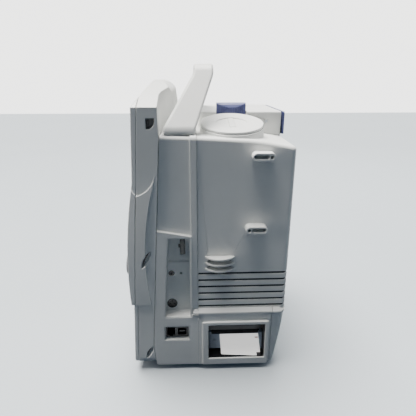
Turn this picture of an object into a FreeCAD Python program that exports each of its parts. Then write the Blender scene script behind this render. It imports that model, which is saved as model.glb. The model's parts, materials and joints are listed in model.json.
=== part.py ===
import FreeCAD, Part
import math
import os
from collections import namedtuple

# A portable mechanical ventilator. Millimetres, +Z up, the display faces -Y, the recorder side is +X.
# The origin lies on the surface that the feet stand on, below the middle of the outer box.

# ---- whole machine ----
HALF_BODY = 120.0        # side wall of the rear case
HALF_FRONT = 125.0       # side wall of the display unit and of the lower housing
HALF_BASE = 126.0        # edge of the base shoulder
HALF_BASE_REAR = 121.5   # base side wall at its rear end, where it has drawn in
HALF_SPAN = 134.0        # outermost face of the side fittings
WALL = 3.0
SEAM = 0.3               # half of the visible gap between two casings
FOOT_HEIGHT = 8.0
HANDLE_TOP = 425.0
KNOB_FACE = -115.0
BUMPER_FACE = 115.0

# ---- display unit ----
PANEL_FOOT = 9.5
PANEL_SIDE_TOP = 376.0
PANEL_FRONT_TOP = 384.0
CROWN_TOP = 408.0
CROWN_Y = -64.0
BROW_SLOPE = 1.08        # rise of the sloping brow above the front face, per millimetre back
FRONT_Y = -104.6         # front face where it meets its bottom rounding
FRONT_Z = 20.0
FRONT_LEAN = math.radians(2.7)
PARTING_Y = -98.0
PARTING_Z = 117.0
PARTING_LEAN = math.radians(3.8)
LOWER_RIM = 5.5          # depth of the front cover's side below the swell
HOUSING_SEAM_Y = -71.7
HOUSING_SEAM_Z = 116.0
SEAM_KICK = 5.0          # how far the seam runs back below its kick point, down to the foot
SEAM_KICK_Z = 44.0
SWELL_LOW = 113.0        # the swollen middle of the front cover, from its step to its upper run-out
SWELL_MID = 200.0
SWELL_HIGH = 285.0
SWELL_STEP = 3.2
SWELL_DEPTH = 6.6
WING = 4.2               # most that the side wing stands out

# ---- housings ----
HOUSING_REAR = -12.0
HOUSING_BAND = 8.0       # width of the raised band at the rear edge of the centre housing
HALF_BAND = 122.0
ROOF_FRONT = 343.0
ROOF_MID = 337.0
ROOF_MID_Y = 62.0
ROOF_REAR = 328.0
REAR_Y = 112.0
CASE_FOOT = 97.0
LEDGE_FRONT = 221.5
LEDGE_REAR = 213.0
CORNER = 7.0
VENT_TOP = 157.4
VENT_PITCH = 10.25
VENT_COUNT = 6
VENT_DEPTH = 2.0
VENT_HEIGHT = 3.4
SHOULDER_TOP = 102.5
SHOULDER_LOW = 92.5
SHOULDER_SLOPE = 5.5
BASE_REAR_FOOT = 97.0
INSERT_PITCH = 75.0
INSERT_MIDDLE_Y = 40.0
INSERT_BORE = 2.5

# ---- recorder ----
BAY_Y = (2.5, 84.0)
BAY_Z = (14.0, 77.0)
BAY_SILL = 19.5
BAY_FRAME_Y = (-6.0, 89.0)
BAY_FRAME_TOP = 82.0
BAY_FRAME_X = 128.0
BAY_PANEL_Y = (HOUSING_REAR, 93.0)
PAPER_WIDTH = 57.5
PAPER_Y = 20.0
PAPER_ROLL_AT = (78.0, 35.5)
PAPER_ROLL_RADIUS = 12.0
PLATEN_AT = (101.0, 46.0)
PLATEN_RADIUS = 4.5
DRAWER_Y = (4.5, 83.4)
DRAWER_FOOT = 20.2       # clears the bay sill as the drawer comes out
DRAWER_TOP = 41.0

# ---- side fittings ----
CONNECTOR_REAR = -21.5
CONNECTOR_SETBACK = 14.5  # from the display's seam to the recess, which follows its slope
CONNECTOR_Z = (89.5, 211.2)
JACK_AT = (-48.5, 148.7)
HOLE_AT = (-35.1, 148.7)
CALL_AT = (-48.8, 101.3)
ROCKER_Z = 189.5
NETWORK_Y = (-60.6, -24.4)
NETWORK_Z = (51.2, 75.2)
POST_LENGTH = 28.0
POST_HEIGHT = 10.5
POSTS = ((69.0, 318.5, 1), (64.0, 224.0, -1))
LOUVRE_Y = 18.2
LOUVRE_HALF = 20.4
LOUVRE_FINS = (181.3, 172.5, 163.7)
LOUVRE_FIN = 2.6

# ---- top fittings ----
DECK_X = (-110.0, 30.0)
DECK_Y = (-8.0, 110.0)
DECK_TOP = 363.0
HATCH_AT = (73.0, 35.0)
HATCH_RADIUS = 42.0
HATCH_LOW = 345.0
HATCH_TILT = math.radians(11.0)
LATCH_Y = (18.0, 60.0)

# ---- patient and supply side ----
PORT_RADIUS = 11.0
PORT_BORE = 9.0
PORT_Z = 215.0
PORTS_Y = (32.0, 78.0)
OXYGEN_AT = (78.0, 268.0)
OXYGEN_RADIUS = 7.0
FAN_AT = (-28.0, 235.0)
FAN_SIZE = 80.0
INLET_AT = (44.0, 150.0)
BLOWER_AT = (-28.0, 30.0)
SPEAKER_AT = (-46.0, 128.0)

# ---- front controls ----
POCKET_DEPTH = 5.0
EYES = ((-79.5, 181.6, 26.5, 7.4, 28.0), (-82.4, 31.0, 23.0, 7.0, 26.0))   # y, z, length, width and tilt
KNOB_AT = (72.0, 150.0)
KNOB_RADIUS = 17.0
KEY_X = (-84.0, -54.0, -24.0)
KEY_Z = 212.0

V = FreeCAD.Vector
X_AXIS = V(1, 0, 0)
Y_AXIS = V(0, 1, 0)
Z_AXIS = V(0, 0, 1)
FAR = 600.0

Bow = namedtuple("Bow", "a b")


# ---------------------------------------------------------------- helpers

def block(x0, x1, y0, y1, z0, z1):
    return Part.makeBox(x1 - x0, y1 - y0, z1 - z0, V(x0, y0, z0))


def rod(radius, start, end):
    """Cylinder from one point to another."""
    along = V(*end) - V(*start)
    return Part.makeCylinder(radius, along.Length, V(*start), along)


def tube(outer, inner, start, end):
    return rod(outer, start, end).cut(rod(inner, start, end))


def corner(path, index):
    """Entry, middle and exit points of a corner, which coincide when it is sharp."""
    here = V(path[index][0], path[index][1], 0)
    radius = path[index][2] if len(path[index]) > 2 else 0
    if radius == 0:
        return here, here, here
    before = path[index - 1]
    after = path[(index + 1) % len(path)]
    back = (V(before[0], before[1], 0) - here).normalize()
    ahead = (V(after[0], after[1], 0) - here).normalize()
    half = back.getAngle(ahead) / 2
    reach = radius / math.tan(half)
    inward = (back + ahead).normalize()
    middle = here + inward * (radius / math.sin(half) - radius)
    return here + back * reach, middle, here + ahead * reach


def outline(path):
    """Closed wire through corners (a, b), rounded corners (a, b, r) and the middles of arcs, Bow(a, b)."""
    edges = []
    count = len(path)
    for index, item in enumerate(path):
        if isinstance(item, Bow):
            continue
        enter, middle, leave = corner(path, index)
        if enter != leave:
            edges.append(Part.Arc(enter, middle, leave).toShape())
        following = path[(index + 1) % count]
        if isinstance(following, Bow):
            end = corner(path, (index + 2) % count)[0]
            edges.append(Part.Arc(leave, V(following.a, following.b, 0), end).toShape())
        else:
            end = corner(path, (index + 1) % count)[0]
            if leave.distanceToPoint(end) > 1e-6:
                edges.append(Part.LineSegment(leave, end).toShape())
    return Part.Wire(edges)


def slab(axis, path, low, high):
    """A flat outline made solid along an axis: (y, z) along x, (x, z) along y or (x, y) along z."""
    solid = Part.Face(outline(path)).extrude(V(0, 0, high - low))
    if axis == "x":
        solid.Placement = FreeCAD.Placement(V(low, 0, 0), FreeCAD.Rotation(Y_AXIS, Z_AXIS, X_AXIS))
    elif axis == "y":
        solid.Placement = FreeCAD.Placement(V(0, high, 0), FreeCAD.Rotation(X_AXIS, Z_AXIS, -Y_AXIS))
    else:
        solid.Placement = FreeCAD.Placement(V(0, 0, low), FreeCAD.Rotation())
    return solid


def oblong(a0, a1, b0, b1, radius):
    """Rectangle with rounded corners."""
    return [(a0, b0, radius), (a1, b0, radius), (a1, b1, radius), (a0, b1, radius)]


def pad(axis, a0, a1, b0, b1, radius, low, high):
    return slab(axis, oblong(a0, a1, b0, b1, radius), low, high)


def joined(shapes):
    result = shapes[0]
    if len(shapes) > 1:
        result = result.multiFuse(shapes[1:])
    return result.removeSplitter()


def both_sides(shape):
    """The shape with its mirror image on the other side of the machine."""
    return Part.makeCompound([shape, shape.mirror(V(0, 0, 0), X_AXIS)])


def soften(shape, radius, wanted):
    """Round the edges for which the test on their middle point holds."""
    edges = [edge for edge in shape.Edges if wanted(edge.valueAt(middle_parameter(edge)), edge)]
    return shape.makeFillet(radius, edges)


def middle_parameter(edge):
    first, last = edge.ParameterRange
    return (first + last) / 2


# ---------------------------------------------------------------- surfaces of the display unit

def front_y(z):
    return FRONT_Y + (z - FRONT_Z) * math.tan(FRONT_LEAN)


def parting_y(z):
    return PARTING_Y + (z - PARTING_Z) * math.tan(PARTING_LEAN)


def seam_y(z):
    """Rear face of the display unit, which runs back towards its foot below the kick point."""
    kick = SEAM_KICK * max(0.0, SEAM_KICK_Z - z) / (SEAM_KICK_Z - PANEL_FOOT)
    return HOUSING_SEAM_Y + (z - HOUSING_SEAM_Z) * math.tan(PARTING_LEAN) + kick


def swell_points():
    """Start, middle and end of the swell's arc, from its step upwards."""
    return ((front_y(SWELL_LOW) - SWELL_STEP, SWELL_LOW),
            (front_y(SWELL_MID) - SWELL_DEPTH, SWELL_MID),
            (front_y(SWELL_HIGH), SWELL_HIGH))


def behind_parting(offset):
    """Everything behind the line between front cover and frame, which jogs at the swell's step."""
    low, high = -50.0, 500.0
    return slab("x", [(front_y(low) + LOWER_RIM + offset, low), (FAR, low), (FAR, high),
                      (parting_y(high) + offset, high), (parting_y(SWELL_LOW) + offset, SWELL_LOW),
                      (front_y(SWELL_LOW) + LOWER_RIM + offset, SWELL_LOW)], -FAR, FAR)


def on_front(shape):
    """Place a shape drawn with the front face at y = 0 and its height along z from FRONT_Z."""
    shape = shape.copy()
    shape.Placement = FreeCAD.Placement(V(0, FRONT_Y, FRONT_Z),
                                        FreeCAD.Rotation(X_AXIS, -math.degrees(FRONT_LEAN))).multiply(shape.Placement)
    return shape


def on_front_point(x, z, depth):
    """A point on the front face, moved by a depth along the face's inward normal."""
    rise = (z - FRONT_Z) / math.cos(FRONT_LEAN)
    place = FreeCAD.Placement(V(0, FRONT_Y, FRONT_Z), FreeCAD.Rotation(X_AXIS, -math.degrees(FRONT_LEAN)))
    return place.multVec(V(x, depth, rise))


def display_envelope(inset):
    """Outer form of the display unit, drawn in on every side by the inset."""
    half = HALF_FRONT - inset
    foot = PANEL_FOOT + inset
    side_top = PANEL_SIDE_TOP - inset
    crown = CROWN_TOP - inset
    corner_radius = 13.0 - inset
    low, mid, high = swell_points()
    front_view = slab("y", [(-half, foot, corner_radius), (half, foot, corner_radius), (half, side_top),
                            Bow(0, crown), (-half, side_top)], -200, 0)
    side_view = slab("x", [(front_y(foot) + inset, foot, 10.0 - inset), (front_y(SWELL_LOW) + inset, SWELL_LOW + inset),
                           (low[0] + inset, SWELL_LOW + inset), Bow(mid[0] + inset, mid[1]),
                           (high[0] + inset, high[1]), (front_y(PANEL_FRONT_TOP) + inset, PANEL_FRONT_TOP - inset, 5),
                           (CROWN_Y, crown + 7.0, 18), (-43, 394 - inset, 12), (-36 - inset, ROOF_FRONT + 0.4 + inset),
                           (seam_y(ROOF_FRONT) - inset, ROOF_FRONT + 0.4 + inset),
                           (seam_y(SEAM_KICK_Z) - inset, SEAM_KICK_Z), (seam_y(foot) - inset, foot, 3.1 - inset * 0.5)],
                     -half, half)
    plan_view = slab("z", [(-half, -200), (half, -200), (half, -57 - inset), (94, -56.5 - inset, 30),
                           (58, -37 - inset, 40), (-58, -37 - inset, 40), (-94, -56.5 - inset, 30),
                           (-half, -57 - inset)], 0, 450)
    return front_view.common(side_view).common(plan_view).common(below_brow(inset))


def below_brow(inset):
    """Everything below the brow: a shallow arch swept back and up from the top of the front face."""
    start = -120.0
    drop = (front_y(PANEL_FRONT_TOP) - start) * BROW_SLOPE
    normal_inset = inset * math.hypot(1, BROW_SLOPE)
    side_top = PANEL_SIDE_TOP - drop - normal_inset
    arch = outline([(-HALF_FRONT, -400), (HALF_FRONT, -400), (HALF_FRONT, side_top),
                    Bow(0, side_top + PANEL_FRONT_TOP - PANEL_SIDE_TOP), (-HALF_FRONT, side_top)])
    face = Part.Face(arch)
    face.Placement = FreeCAD.Placement(V(0, start, 0), FreeCAD.Rotation(X_AXIS, Z_AXIS, -Y_AXIS))
    length = 110.0
    return face.extrude(V(0, length, length * BROW_SLOPE))


def display_shell(inset, thickness):
    return display_envelope(inset).cut(display_envelope(inset + thickness))


# ---------------------------------------------------------------- display unit

def catch_outline(shrink):
    """D-shaped recess of the upper catch, on the frame's side."""
    return [(-71.0 + shrink, 351 + shrink), (-67.5 - shrink * 0.4, 351 + shrink), Bow(-62.7 - shrink, 354.6 + shrink * 0.6),
            (-60.8 - shrink, 360.0), (-60.8 - shrink, 363.6 - shrink), (-71.0 + shrink, 363.6 - shrink)]


def place_eye(shape, eye):
    """Turn a shape drawn upright at the origin and move it to an eye-shaped recess."""
    y, z, length, width, tilt = eye
    shape.rotate(V(0, 0, 0), X_AXIS, -tilt)
    shape.translate(V(0, y, z))
    return shape


def eye_column(eye, shrink, x0, x1):
    """Column with the recess's pointed outline."""
    length, width = eye[2] / 2 - shrink * 2.5, eye[3] / 2 - shrink
    return place_eye(slab("x", [(0, -length), Bow(width, 0), (0, length), Bow(-width, 0)], x0, x1), eye)


def eye_pocket(eye):
    """Recess with a ramp that rises from its middle to its rear lip."""
    length, width = eye[2] / 2 + 2, eye[3] / 2 + 0.6
    ramp = slab("z", [(HALF_FRONT - POCKET_DEPTH, -0.4), (HALF_FRONT + 1.2, width), (HALF_FRONT - POCKET_DEPTH, width)],
                -length, length)
    column = eye_column(eye, 0, HALF_FRONT - POCKET_DEPTH, HALF_SPAN)
    return column.cut(place_eye(ramp, eye))


def catch_boss(eye):
    """Thickened wall behind a recess."""
    return eye_column(eye, -2.2, HALF_FRONT - POCKET_DEPTH - 2, HALF_FRONT - 1)


def display_wing():
    """Raised flank of the frame: swollen like the front, under a dipping upper edge and a bowed rear edge."""
    front = parting_y(SWELL_LOW) - 16
    view = slab("x", [(front, SWELL_LOW), (front, 300), (-86.4, 269.6), Bow(-73.6, 276.6), (-64.2, 293),
                      (-65.0, 285), Bow(-80.2, 190), (-75.8, SWELL_LOW)], HALF_FRONT - 1, HALF_SPAN)
    swell = slab("y", [(HALF_FRONT - 3, SWELL_LOW - 4), (HALF_FRONT + 2.2, SWELL_LOW - 4),
                       Bow(HALF_FRONT + WING, 175), (HALF_FRONT + 0.2, 298), (HALF_FRONT - 3, 298)], -130, -50)
    return view.common(swell)


def front_cover():
    cover = display_shell(0, WALL).cut(behind_parting(-SEAM))
    window = on_front(pad("y", -98, 98, 218, 338, 5, -10, 10))
    rebate = on_front(pad("y", -101, 101, 215, 341, 6, -1, 1.6))
    overlay = overlay_solid(0.0, 0.15)
    light = on_front(pad("y", -45.2, 45.2, 347.8, 356.2, 4.1, -5, 10))
    knob_hole = rod(5.2, on_front_point(*KNOB_AT, -20), on_front_point(*KNOB_AT, 10))
    keys = [key_solid(x, 0.35, -12, 10) for x in KEY_X]
    flank = display_wing().cut(behind_parting(-SEAM)).common(swell_side())
    cover = joined([cover, flank, flank.mirror(V(0, 0, 0), X_AXIS)])
    return cover.cut([window, rebate, overlay, light, knob_hole] + keys)


def swell_side():
    """Side outline of the swollen front, which trims the flank that belongs to the front cover."""
    low, mid, high = swell_points()
    return slab("x", [(low[0], low[1]), Bow(mid[0], mid[1]), (high[0], high[1]), (0, high[1]), (0, low[1])],
                -FAR, FAR)


def display_frame():
    shell = display_shell(0, WALL).common(behind_parting(SEAM))
    lip = display_shell(WALL, 1.2).common(behind_parting(-1.5)).cut(behind_parting(5.0))
    lip = lip.cut(block(-HALF_FRONT + 10, HALF_FRONT - 10, -140, 0, PANEL_FOOT + 12, PANEL_SIDE_TOP - 8))
    wing = display_wing().common(behind_parting(SEAM))
    upper_boss = slab("x", catch_outline(-1.6), HALF_FRONT - POCKET_DEPTH - 2, HALF_FRONT - 1)
    body = display_envelope(0)
    extras = [wing, upper_boss] + [catch_boss(eye).common(body) for eye in EYES]
    upper_pocket = slab("x", catch_outline(0), HALF_FRONT - POCKET_DEPTH, HALF_SPAN)
    pockets = [upper_pocket] + [eye_pocket(eye) for eye in EYES]
    frame = joined([shell, lip] + extras + [piece.mirror(V(0, 0, 0), X_AXIS) for piece in extras])
    cable_hole = pad("y", -60, 60, 150, 200, 8, -90, -40)
    return frame.cut(pockets + [pocket.mirror(V(0, 0, 0), X_AXIS) for pocket in pockets] + [cable_hole])


def display_catches():
    """Dark catches on the floors of the frame's recesses, the upper one in a lined cup with a hook."""
    floor = HALF_FRONT - POCKET_DEPTH
    lining = slab("x", catch_outline(0.15), floor, HALF_FRONT - 0.6)
    room = slab("x", catch_outline(0.95), floor + 0.8, HALF_SPAN)
    hook = slab("y", [(floor, 354), (floor + 3.6, 356), (floor + 3.6, 360.5), (floor, 361.5)], -68.9, -67.7)
    pieces = [joined([lining.cut(room), hook])]
    for eye in EYES:
        front_half = place_eye(block(0, HALF_SPAN, -eye[3], -0.7, -eye[2], eye[2]), eye)
        pieces.append(eye_column(eye, 0.35, floor, floor + 1.2).common(front_half))
    return both_sides(Part.makeCompound(pieces))


def display_window():
    return on_front(pad("y", -100.8, 100.8, 215.2, 340.8, 5.8, 0.1, 1.6))


def lcd_panel():
    return on_front(pad("y", -104, 104, 211, 345, 2, 3.2, 9.0))


def alarm_light_bar():
    bar = on_front(pad("y", -45, 45, 348, 356, 4, -1.2, 3.2))
    flange = on_front(pad("y", -50, 50, 346.2, 358, 3, 3.2, 4.4))
    return joined([bar, flange])


def overlay_solid(shrink, sink):
    """Printed panel that follows the swell: a thin curved sheet let into the cover."""
    low, mid, high = swell_points()
    sheet = slab("x", [(low[0] - 1, low[1]), Bow(mid[0] - 1, mid[1]), (high[0] - 1, high[1]),
                       (high[0] + 1 - 0.4 + sink, high[1]), Bow(mid[0] + 1 - 0.4 + sink, mid[1]),
                       (low[0] + 1 - 0.4 + sink, low[1])], -112 + shrink, 112 - shrink)
    shape = pad("y", -112 + shrink, 112 - shrink, 114 + shrink, 232 - shrink, 9 - shrink, -140, -60)
    return sheet.common(shape)


def control_overlay():
    sheet = overlay_solid(0.3, 0.15)
    proud = slab("x", swell_skin(-FAR, -0.35), -HALF_SPAN, HALF_SPAN)
    knob_hole = rod(KNOB_RADIUS + 2, on_front_point(*KNOB_AT, -20), on_front_point(*KNOB_AT, 10))
    keys = [key_solid(x, 0.6, -12, 10) for x in KEY_X]
    return sheet.cut([proud, knob_hole] + keys)


def swell_skin(front, offset):
    """Everything in front of the swell's arc, moved by an offset."""
    low, mid, high = swell_points()
    return [(low[0] + offset, low[1]), Bow(mid[0] + offset, mid[1]), (high[0] + offset, high[1]),
            (front, high[1]), (front, low[1])]


def key_solid(x, grow, near, far):
    """A key's square column, between two depths from the front face."""
    height = (KEY_Z - FRONT_Z) / math.cos(FRONT_LEAN)
    return on_front(pad("y", x - 10 - grow, x + 10 + grow, height - 7 - grow, height + 7 + grow,
                        3 + grow, near, far))


def key(x):
    cap = soften(key_solid(x, 0, -8.4, -2), 0.9, lambda point, edge: front_distance(point) < -8.2)
    return cap


def front_distance(point):
    """Depth of a point behind the front face."""
    return (point.y - front_y(point.z)) * math.cos(FRONT_LEAN)


def control_knob():
    face = on_front_point(*KNOB_AT, 0)
    inward = on_front_point(*KNOB_AT, 1) - face
    reach = (face.y - KNOB_FACE - (KNOB_RADIUS - 2) * math.sin(FRONT_LEAN)) / math.cos(FRONT_LEAN)
    start = face - inward * reach
    body = Part.makeCylinder(KNOB_RADIUS, reach - 8.6, start, inward)
    body = soften(body, 2.0, lambda point, edge: point.y < KNOB_FACE + 1.5)
    grips = []
    for index in range(18):
        angle = 2 * math.pi * index / 18
        side = V(math.cos(angle), 0, math.sin(angle)) * (KNOB_RADIUS + 0.6)
        grips.append(Part.makeCylinder(1.3, reach, start + side + inward * 2.5, inward))
    dish = Part.makeSphere(40, start - inward * 39.0)
    stem = Part.makeCylinder(4.6, 9.0, start + inward * (reach - 9.0), inward)
    bore = Part.makeCylinder(3.0, 12.0, start + inward * (reach - 11.5), inward)
    return joined([body.cut(grips + [dish]), stem]).cut(bore)


def encoder():
    """Rotary encoder behind the cover, whose spindle the knob is fixed on."""
    face = on_front_point(*KNOB_AT, 0)
    inward = on_front_point(*KNOB_AT, 1) - face
    return Part.makeCylinder(2.97, 13.4, face - inward * 11.0, inward)


def encoder_body():
    face = on_front_point(*KNOB_AT, 0)
    inward = on_front_point(*KNOB_AT, 1) - face
    can = on_front(pad("y", KNOB_AT[0] - 8, KNOB_AT[0] + 8, KNOB_AT[1] - FRONT_Z - 8, KNOB_AT[1] - FRONT_Z + 8,
                       1, 3.4, 9.0))
    return can.cut(Part.makeCylinder(3.3, 30, face - inward * 2, inward))


# ---------------------------------------------------------------- centre housing and handle

def housing_profile(half, low, high, rear):
    path = [(seam_y(low) + SEAM * 2, low, 3), (rear, low), (rear, high - 1.6), (seam_y(high) + SEAM * 2, high),
            (seam_y(SEAM_KICK_Z) + SEAM * 2, SEAM_KICK_Z)]
    return slab("x", path, -half, half)


def ledge_block():
    """The wider lower part of the centre housing, below the sloping ledge."""
    rear = HOUSING_REAR - HOUSING_BAND
    return slab("x", [(seam_y(FOOT_HEIGHT) + SEAM * 2, FOOT_HEIGHT, 3), (rear, FOOT_HEIGHT), (rear, LEDGE_REAR),
                      (seam_y(LEDGE_FRONT) + SEAM * 2, LEDGE_FRONT), (seam_y(SEAM_KICK_Z) + SEAM * 2, SEAM_KICK_Z)],
                -HALF_FRONT, HALF_FRONT)


def ledge_hollow():
    """Room inside the wider part, open towards the display."""
    rear = HOUSING_REAR - HOUSING_BAND - WALL
    slope = (LEDGE_FRONT - LEDGE_REAR) / (rear - seam_y(LEDGE_FRONT))
    front = -95.0
    return slab("x", [(front, FOOT_HEIGHT + WALL), (rear, FOOT_HEIGHT + WALL), (rear, LEDGE_REAR - WALL),
                      (front, LEDGE_REAR - WALL + slope * (rear - front))], -HALF_FRONT + WALL, HALF_FRONT - WALL)


def connector_region(inset, x0, x1):
    """Outline of the socket recess, whose front edge runs parallel to the display's seam."""
    low, high = CONNECTOR_Z[0] + inset, CONNECTOR_Z[1] - inset
    front = CONNECTOR_SETBACK + inset
    return slab("x", [(seam_y(low) + front, low), (CONNECTOR_REAR - inset, low), (CONNECTOR_REAR - inset, high),
                      (seam_y(high) + front, high)], x0, x1)


def centre_housing():
    core = housing_profile(HALF_BODY, FOOT_HEIGHT, ROOF_FRONT, HOUSING_REAR)
    core = soften(core, 5, lambda point, edge: abs(point.x) > 119 and point.z > 340)
    low = ledge_block()
    band = slab("y", [(-HALF_BAND, CASE_FOOT + 5.6), (HALF_BAND, CASE_FOOT + 5.6), (HALF_BAND, ROOF_FRONT - 0.2, 6),
                      (-HALF_BAND, ROOF_FRONT - 0.2, 6)], HOUSING_REAR - HOUSING_BAND, HOUSING_REAR)
    sill = block(-HALF_FRONT, HALF_FRONT, HOUSING_REAR - HOUSING_BAND, HOUSING_REAR, FOOT_HEIGHT, 92)
    nose = shoulder().common(block(-HALF_SPAN, HALF_SPAN, -60, HOUSING_REAR, SHOULDER_LOW, 120))
    outer = joined([core, low, band, sill, nose])
    hollow = joined([block(-HALF_BODY + WALL, HALF_BODY - WALL, -95, 0, FOOT_HEIGHT + WALL, ROOF_FRONT - WALL - 1.5),
                     ledge_hollow()])
    shell = outer.cut(hollow)
    connector = connector_region(0, 100, HALF_SPAN)
    network = block(100, HALF_SPAN, NETWORK_Y[0], NETWORK_Y[1], NETWORK_Z[0], NETWORK_Z[1])
    grille = []
    for row in range(5):
        for column in range(5 + row % 2):
            y = SPEAKER_AT[0] + (column - 2 - (row % 2) / 2) * 7.0
            z = SPEAKER_AT[1] + (row - 2) * 6.2
            grille.append(rod(1.6, (-HALF_SPAN, y, z), (-HALF_BODY + 6, y, z)))
    return shell.cut([connector, network] + grille)


def carry_handle():
    """Strap handle: an arch across the machine whose legs lean inwards and backwards."""
    foot = ROOF_FRONT - 6
    front_view = slab("y", [(-118, foot), (-117, 350, 16), (-64, HANDLE_TOP, 20), (64, HANDLE_TOP, 20),
                            (117, 350, 16), (118, foot), (96, foot), (95, 352, 10), (54, 410, 14), (-54, 410, 14),
                            (-95, 352, 10), (-96, foot)], -80, 40)
    side_view = slab("x", [(-53, foot), (-52, 350, 20), (-14, 414, 20), (-14, HANDLE_TOP + 2), (11, HANDLE_TOP + 2),
                           (11, 412, 18), (-12.4, 350, 12), (-12.4, foot)], -HALF_FRONT, HALF_FRONT)
    strap = front_view.common(side_view)
    return strap.cut(block(-200, 200, -100, 40, 0, ROOF_FRONT + 0.2))


# ---------------------------------------------------------------- rear case

def case_solid(inset, foot):
    """Rear case form with a roof that falls away to the rear, drawn in by the inset."""
    half = HALF_BODY - inset
    rear = REAR_Y - inset
    side = slab("x", [(HOUSING_REAR + SEAM, foot), (REAR_Y - inset, foot), (REAR_Y - inset, ROOF_REAR - inset),
                      (ROOF_MID_Y, ROOF_MID - inset, 300), (HOUSING_REAR + SEAM, ROOF_FRONT - 1.6 - inset)], -half, half)
    plan = slab("z", [(-half, HOUSING_REAR), (half, HOUSING_REAR), (half, rear, CORNER - inset * 0.8),
                      (-half, rear, CORNER - inset * 0.8)], 0, 400)
    solid = side.common(plan)
    return soften(solid, 5 - inset, lambda point, edge: point.z > 320 and roof_rim(point, half, rear))


def roof_rim(point, half, rear):
    return (abs(point.x) > half - 9 or point.y > rear - 9) and point.y > HOUSING_REAR + 2


def vent_cutters():
    """Horizontal grooves along the sides and round the rear corners."""
    cutters = []
    for index in range(VENT_COUNT):
        top = VENT_TOP - index * VENT_PITCH
        low = top - VENT_HEIGHT
        reach = HALF_BODY + 5
        outside = slab("z", [(-reach, -11), (reach, -11), (reach, REAR_Y + 5, CORNER), (-reach, REAR_Y + 5, CORNER)],
                       low, top)
        depth = HALF_BODY - VENT_DEPTH
        inside = slab("z", [(-depth, -30), (depth, -30), (depth, REAR_Y - VENT_DEPTH, CORNER - VENT_DEPTH),
                            (-depth, REAR_Y - VENT_DEPTH, CORNER - VENT_DEPTH)], low - 1, top + 1)
        middle = block(-95, 95, 0, REAR_Y + 10, low - 1, top + 1)
        cutters.append(outside.cut([inside, middle]))
    return cutters


def hatch_plane(drop):
    """Everything above the tilted hatch face, lowered by a drop."""
    near = HATCH_AT[0] + HATCH_RADIUS
    slope = math.tan(HATCH_TILT)
    return slab("y", [(near + 20, HATCH_LOW - 20 * slope - drop), (near + 20, 600), (-100, 600),
                      (-100, HATCH_LOW + (near + 100) * slope - drop)], -100, 200)


def hatch_column(radius, low, high):
    return rod(radius, (HATCH_AT[0], HATCH_AT[1], low), (HATCH_AT[0], HATCH_AT[1], high))


def hatch_axis():
    """Middle of the hatch face and the direction that the face looks in."""
    middle = V(HATCH_AT[0], HATCH_AT[1], HATCH_LOW + HATCH_RADIUS * math.tan(HATCH_TILT))
    return middle, V(math.sin(HATCH_TILT), 0, math.cos(HATCH_TILT))


def case_openings():
    louvre = louvre_window(0, 100, HALF_SPAN)
    middle, up = hatch_axis()
    hatch = Part.makeCylinder(30, 60, middle - up * 50, up)
    deck = block(DECK_X[0] + 8, DECK_X[1] - 8, DECK_Y[0] + 10, DECK_Y[1] - 12, 300, 380)
    rear = pad("y", -80, 80, 112, 302, 4, 90, 130)
    patient = pad("x", 8, 100, 186, 288, 5, -HALF_SPAN, -100)
    return [louvre, hatch, deck, rear, patient]


def rear_case():
    outer = case_solid(0, CASE_FOOT)
    boss = hatch_column(HATCH_RADIUS, 320, 380).cut(hatch_plane(3.7))
    shell = joined([outer, boss]).cut(case_solid(WALL, 0))
    return shell.cut(vent_cutters() + case_openings())


def crescent(depth, low, high):
    """Plan of one louvre fin: a bow standing out from the side wall."""
    return slab("z", [(HALF_BODY, LOUVRE_Y - LOUVRE_HALF), Bow(HALF_BODY + depth, LOUVRE_Y),
                      (HALF_BODY, LOUVRE_Y + LOUVRE_HALF)], low, high)


def louvre_window(shrink, x0, x1):
    """Opening in the side wall behind the fins."""
    return pad("x", LOUVRE_Y - 17 + shrink, LOUVRE_Y + 17 - shrink, LOUVRE_FINS[-1] - 3 + shrink,
               LOUVRE_FINS[0] + 2 - shrink, 2, x0, x1)


def side_louvre():
    """Air scoop: three bowed fins on a frame let into the side wall, open between them."""
    half = LOUVRE_FIN / 2
    fins = [crescent(depth, z - half, z + half) for depth, z in zip((11.6, 11.2, 10.6), LOUVRE_FINS)]
    frame = louvre_window(0.2, HALF_BODY - WALL, HALF_BODY)
    gaps = [block(100, HALF_BODY, LOUVRE_Y - 15.5, LOUVRE_Y + 15.5, z + half + 0.5, z + half + 5.6)
            for z in LOUVRE_FINS[1:]]
    roots = [block(HALF_BODY - 0.2, HALF_BODY + 0.1, LOUVRE_Y - 12, LOUVRE_Y + 12, z - half, z + half)
             for z in LOUVRE_FINS]
    return joined(fins + roots + [frame.cut(gaps)])


def accessory_posts():
    """Two oval lugs for hanging accessories, each with a long slot and a screw hole."""
    posts = []
    for y, z, end in POSTS:
        post = pad("x", y - POST_LENGTH / 2, y + POST_LENGTH / 2, z - POST_HEIGHT / 2, z + POST_HEIGHT / 2,
                   POST_HEIGHT / 2 - 0.01, HALF_BODY, HALF_SPAN)
        post = soften(post, 0.8, lambda point, edge: point.x > HALF_SPAN - 0.1)
        hole = rod(2.1, (HALF_BODY, y + end * 9.4, z), (HALF_SPAN + 1, y + end * 9.4, z))
        slot_mid = y - end * 2.9
        slot = pad("x", slot_mid - 9, slot_mid + 9, z - 2.5, z + 2.5, 2.4, HALF_BODY + 0.8, HALF_SPAN + 1)
        posts.append(post.cut([hole, slot]))
    return Part.makeCompound(posts)


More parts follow.
